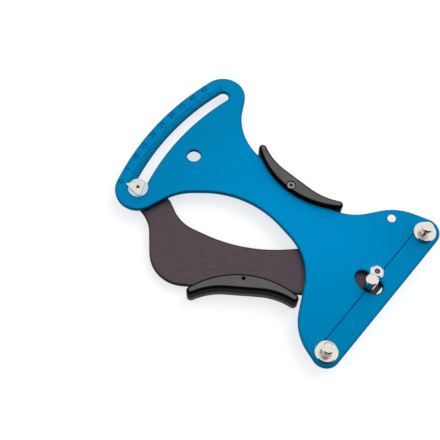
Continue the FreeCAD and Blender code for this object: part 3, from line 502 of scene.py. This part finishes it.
def scale_figures(work):
    """Figures 0 to 45, heads outwards, each centred on its tick."""
    for value in range(0, LAST_FIGURE + 1, FIFTH):
        text = bpy.data.curves.new("figure", "FONT")
        text.body = str(value)
        text.align_x = "CENTER"
        text.align_y = "CENTER"
        text.extrude = 0.02
        holder = bpy.data.objects.new("figure", text)
        bpy.context.scene.collection.objects.link(holder)
        bpy.context.view_layer.update()
        flat = bpy.data.meshes.new_from_object(holder.evaluated_get(bpy.context.evaluated_depsgraph_get()))
        bpy.data.objects.remove(holder)
        ys = [v.co.y for v in flat.vertices]
        zs = [v.co.z for v in flat.vertices]
        size = FIGURE_H / (max(ys) - min(ys))
        tall = (ETCH_TOP - ETCH_BOTTOM) / (max(zs) - min(zs))
        turn = scale_angle(value)
        place = (Matrix.Translation((FIGURE_R * math.cos(turn), FIGURE_R * math.sin(turn),
                                     (ETCH_TOP + ETCH_BOTTOM) / 2))
                 @ Matrix.Rotation(turn - math.pi / 2, 4, "Z")
                 @ Matrix.Diagonal((size * FIGURE_STRETCH, size, tall, 1.0))
                 @ Matrix.Translation((0.0, -(max(ys) + min(ys)) / 2, 0.0)))
        flat.transform(place)
        work.from_mesh(flat)
        bpy.data.meshes.remove(flat)


def spoke_line(work):
    """Dark strip in the floor of the line engraved between the two fixed posts: painted shade in the
    groove.
    """
    thin_box(work, (SPOKE_LINE_X - SPOKE_LINE_W / 2, POST_LOWER[1], SHADE_STRIP_BOTTOM),
             (SPOKE_LINE_X + SPOKE_LINE_W / 2, POST_UPPER[1], SHADE_STRIP_TOP), Matrix.Identity(4))


make_piece("scale_ticks", scale_ticks, ETCHED, "frame")
make_piece("scale_figures", scale_figures, ETCHED, "frame")
make_piece("spoke_line_shade", spoke_line, ETCHED, "frame")

# ---- return spring: one drawn wire, with a hook at each end -------------------------------
LOOP_LEVEL = 1.75           # middle of the hooks above the bench
HOOK_R = 2.5
ARM_HOOK_DEG = 40           # where each hook's arc starts, and how far it runs
ANCHOR_HOOK_DEG = 190
HOOK_ARC_DEG = 300
HOOK_STEP_DEG = 15
COIL_R = 2.65               # middle of the wire
COIL_PITCH = 1.45
COIL_TURNS = 11
COIL_STEPS = 20             # points in one turn
COIL_START = 10.2           # from the arm pin
STEM_FROM_HOOK = (0.5, 2.0, 4.0)    # points that keep the stem straight beyond the hook
STEM_BEFORE_COIL = (1.6, 0.6)
STEM_AFTER_COIL = (0.6, 1.4)
STEM_TO_HOOK = 0.5
WIRE_R = 0.6


def hook(middle, start):
    """Arc round a pin at that distance along the spring."""
    turns = [math.radians(degrees) for degrees in range(start, start + HOOK_ARC_DEG + 1, HOOK_STEP_DEG)]
    return [(middle + HOOK_R * math.cos(turn), HOOK_R * math.sin(turn), 0.0) for turn in turns]


def coil():
    """Turns of the spring, with their lowest point level with the hooks."""
    points = []
    for step in range(COIL_TURNS * COIL_STEPS + 1):
        turn = 2 * math.pi * step / COIL_STEPS
        points.append((COIL_START + COIL_PITCH * step / COIL_STEPS, -COIL_R * math.sin(turn),
                       COIL_R * (1 - math.cos(turn))))
    return points


def spring_line():
    """The wire's middle along +X from the arm pin: hook, stem, coil, stem and hook."""
    span = math.dist(ARM_PIN, ANCHOR_PIN)
    end = COIL_START + COIL_PITCH * COIL_TURNS
    stem_in = [HOOK_R + x for x in STEM_FROM_HOOK] + [COIL_START - x for x in STEM_BEFORE_COIL]
    stem_out = [end + x for x in STEM_AFTER_COIL] + [span - HOOK_R - STEM_TO_HOOK]
    return (hook(0.0, ARM_HOOK_DEG) + [(x, 0.0, 0.0) for x in stem_in] + coil()
            + [(x, 0.0, 0.0) for x in stem_out] + hook(span, ANCHOR_HOOK_DEG))


def make_spring():
    points = spring_line()
    curve = bpy.data.curves.new("return_spring_wire", "CURVE")
    curve.dimensions = "3D"
    curve.resolution_u = 3
    curve.bevel_depth = WIRE_R
    curve.bevel_resolution = 3
    curve.use_fill_caps = True
    spline = curve.splines.new("NURBS")
    spline.points.add(len(points) - 1)
    for point, (x, y, z) in zip(spline.points, points):
        point.co = (x, y, z, 1.0)
    spline.order_u = 4
    spline.use_endpoint_u = True
    holder = bpy.data.objects.new("return_spring_line", curve)
    bpy.context.scene.collection.objects.link(holder)
    bpy.context.view_layer.update()
    mesh = bpy.data.meshes.new_from_object(
        holder.evaluated_get(bpy.context.evaluated_depsgraph_get()))
    bpy.data.objects.remove(holder)
    heading = math.atan2(ANCHOR_PIN[1] - ARM_PIN[1], ANCHOR_PIN[0] - ARM_PIN[0])
    mesh.transform(Matrix.Scale(MM, 4) @ Matrix.Translation((ARM_PIN[0], ARM_PIN[1], LOOP_LEVEL))
                   @ Matrix.Rotation(heading, 4, "Z"))
    mesh.name = "return_spring_wire"
    mesh.materials.clear()
    mesh.materials.append(WIRE)
    for face in mesh.polygons:
        face.use_smooth = True
    spring = bpy.data.objects.new("return_spring_wire", mesh)
    bpy.context.scene.collection.objects.link(spring)
    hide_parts("return_spring")
    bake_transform(spring)
    return spring


make_spring()


# ---- floor, light and camera, in metres ---------------------------------------------------
FLOOR_HALF = 4.0
FLOOR_Z = -0.05 * MM        # a hair under the grips' backs, so that no two faces coincide
FLOOR_LIFT = 0.66           # glow that makes the paper show as white
SKY_LIGHT = 0.78            # level that lights the part, and the level that shows
SKY_SHOWN = 1.0
KEY_ENERGY = 0.9
KEY_SOFT_DEG = 35
KEY_FROM = (0.10, 0.60, 0.80)
FLAG_AZIMUTH = 309
FLAG_SPREAD = 55
FLAG_LOW_DEG = 4
FLAG_HIGH_DEG = 72
FLAG_R = 1.6
FLAG_ROWS = 6
FLAG_COLUMNS = 12
CAMERA_BACK = Vector((0.26619, -0.32822, 0.90632)).normalized()
CAMERA_UP = Vector((-0.59703, 0.68204, 0.42235))
CAMERA_PLACE = (0.03376, -0.19771, 0.45749)
LENS = 62.79                # mm, on a sensor 36 mm wide
SENSOR = 36.0

scene = bpy.context.scene


def seen_directly(tree):
    """1 for rays that show a background: from the camera, in a reflection or through glass."""
    rays = add(tree, "LightPath").outputs
    first = add(tree, "Math", {0: rays["Is Camera Ray"], 1: rays["Is Glossy Ray"]}, operation="MAXIMUM")
    return add(tree, "Math", {0: first.outputs["Value"], 1: rays["Is Transmission Ray"]},
               operation="MAXIMUM").outputs["Value"]


def white_paper_sweep():
    """Light grey paper that shows as white, with its shadows kept."""
    material, tree, shader, place = new_finish("white_paper_sweep")
    fibre = add(tree, "TexNoise", {"Vector": place, "Scale": per_mm(60), "Detail": 1.0})
    lift = add(tree, "MapRange", {"Value": seen_directly(tree), "To Min": 0.0, "To Max": FLOOR_LIFT})
    put(tree, shader, Base_Color=shades(tree, fibre.outputs["Fac"], (0.3, "#A9A9A9"), (0.7, "#ACACAC")),
        Emission_Color=(1.0, 1.0, 1.0, 1.0), Emission_Strength=lift.outputs["Result"],
        Roughness=0.9, Specular_IOR_Level=0.0)
    return material


def black_felt():
    """Felt that covers the flag: dull black, with a short nap."""
    material, tree, shader, place = new_finish("black_felt")
    nap = add(tree, "TexNoise", {"Vector": place, "Scale": per_mm(4)})
    put(tree, shader, Base_Color=shades(tree, nap.outputs["Fac"], (0.3, "#060606"), (0.7, "#0C0C0C")),
        Roughness=1.0, Specular_IOR_Level=0.0)
    return material


def make_floor():
    mesh = bpy.data.meshes.new("floor")
    corners = [(-FLOOR_HALF, -FLOOR_HALF, FLOOR_Z), (FLOOR_HALF, -FLOOR_HALF, FLOOR_Z),
               (FLOOR_HALF, FLOOR_HALF, FLOOR_Z), (-FLOOR_HALF, FLOOR_HALF, FLOOR_Z)]
    mesh.from_pydata(corners, [], [(0, 1, 2, 3)])
    mesh.materials.append(white_paper_sweep())
    floor = bpy.data.objects.new("floor", mesh)
    scene.collection.objects.link(floor)


def make_sky():
    world = bpy.data.worlds.new("plain_studio")
    scene.world = world
    world.use_nodes = True
    sky = world.node_tree
    sky.nodes.clear()
    level = add(sky, "MapRange", {"Value": seen_directly(sky), "To Min": SKY_LIGHT, "To Max": SKY_SHOWN})
    air = add(sky, "Background", {"Color": (1.0, 1.0, 1.0, 1.0), "Strength": level.outputs["Result"]})
    add(sky, "OutputWorld", {"Surface": air.outputs["Background"]})


def make_key_light():
    key = bpy.data.lights.new("key", "SUN")
    key.energy = KEY_ENERGY
    key.angle = math.radians(KEY_SOFT_DEG)
    key_object = bpy.data.objects.new("key", key)
    scene.collection.objects.link(key_object)
    key_object.visible_glossy = False
    key_object.rotation_euler = Vector(KEY_FROM).to_track_quat("Z", "Y").to_euler()


def make_black_flag():
    """Curved black card round the near side, seen only in reflections: it draws bright metal's rims."""
    card = bmesh.new()
    rows = []
    for row in range(FLAG_ROWS + 1):
        rise = math.radians(FLAG_LOW_DEG + (FLAG_HIGH_DEG - FLAG_LOW_DEG) * row / FLAG_ROWS)
        turns = [math.radians(FLAG_AZIMUTH + FLAG_SPREAD * (2 * column / FLAG_COLUMNS - 1))
                 for column in range(FLAG_COLUMNS + 1)]
        rows.append([card.verts.new((FLAG_R * math.cos(rise) * math.cos(turn),
                                     FLAG_R * math.cos(rise) * math.sin(turn), FLAG_R * math.sin(rise)))
                     for turn in turns])
    for lower, upper in zip(rows, rows[1:]):
        for column in range(FLAG_COLUMNS):
            card.faces.new((lower[column], lower[column + 1], upper[column + 1], upper[column]))
    mesh = bpy.data.meshes.new("black_flag")
    card.to_mesh(mesh)
    card.free()
    mesh.materials.append(black_felt())
    flag = bpy.data.objects.new("black_flag", mesh)
    scene.collection.objects.link(flag)
    flag.visible_camera = False
    flag.visible_diffuse = False
    flag.visible_shadow = False
    flag.visible_transmission = False


def make_camera():
    right = CAMERA_UP.cross(CAMERA_BACK).normalized()
    up = CAMERA_BACK.cross(right)
    lens = bpy.data.cameras.new("camera")
    lens.lens = LENS
    lens.sensor_width = SENSOR
    camera = bpy.data.objects.new("camera", lens)
    scene.collection.objects.link(camera)
    camera.matrix_world = (Matrix.Translation(CAMERA_PLACE)
                           @ Matrix((right, up, CAMERA_BACK)).transposed().to_4x4())
    return camera


make_floor()
make_sky()
make_key_light()
make_black_flag()
bpy.context.scene.camera = make_camera()
scene.view_settings.view_transform = "Standard"
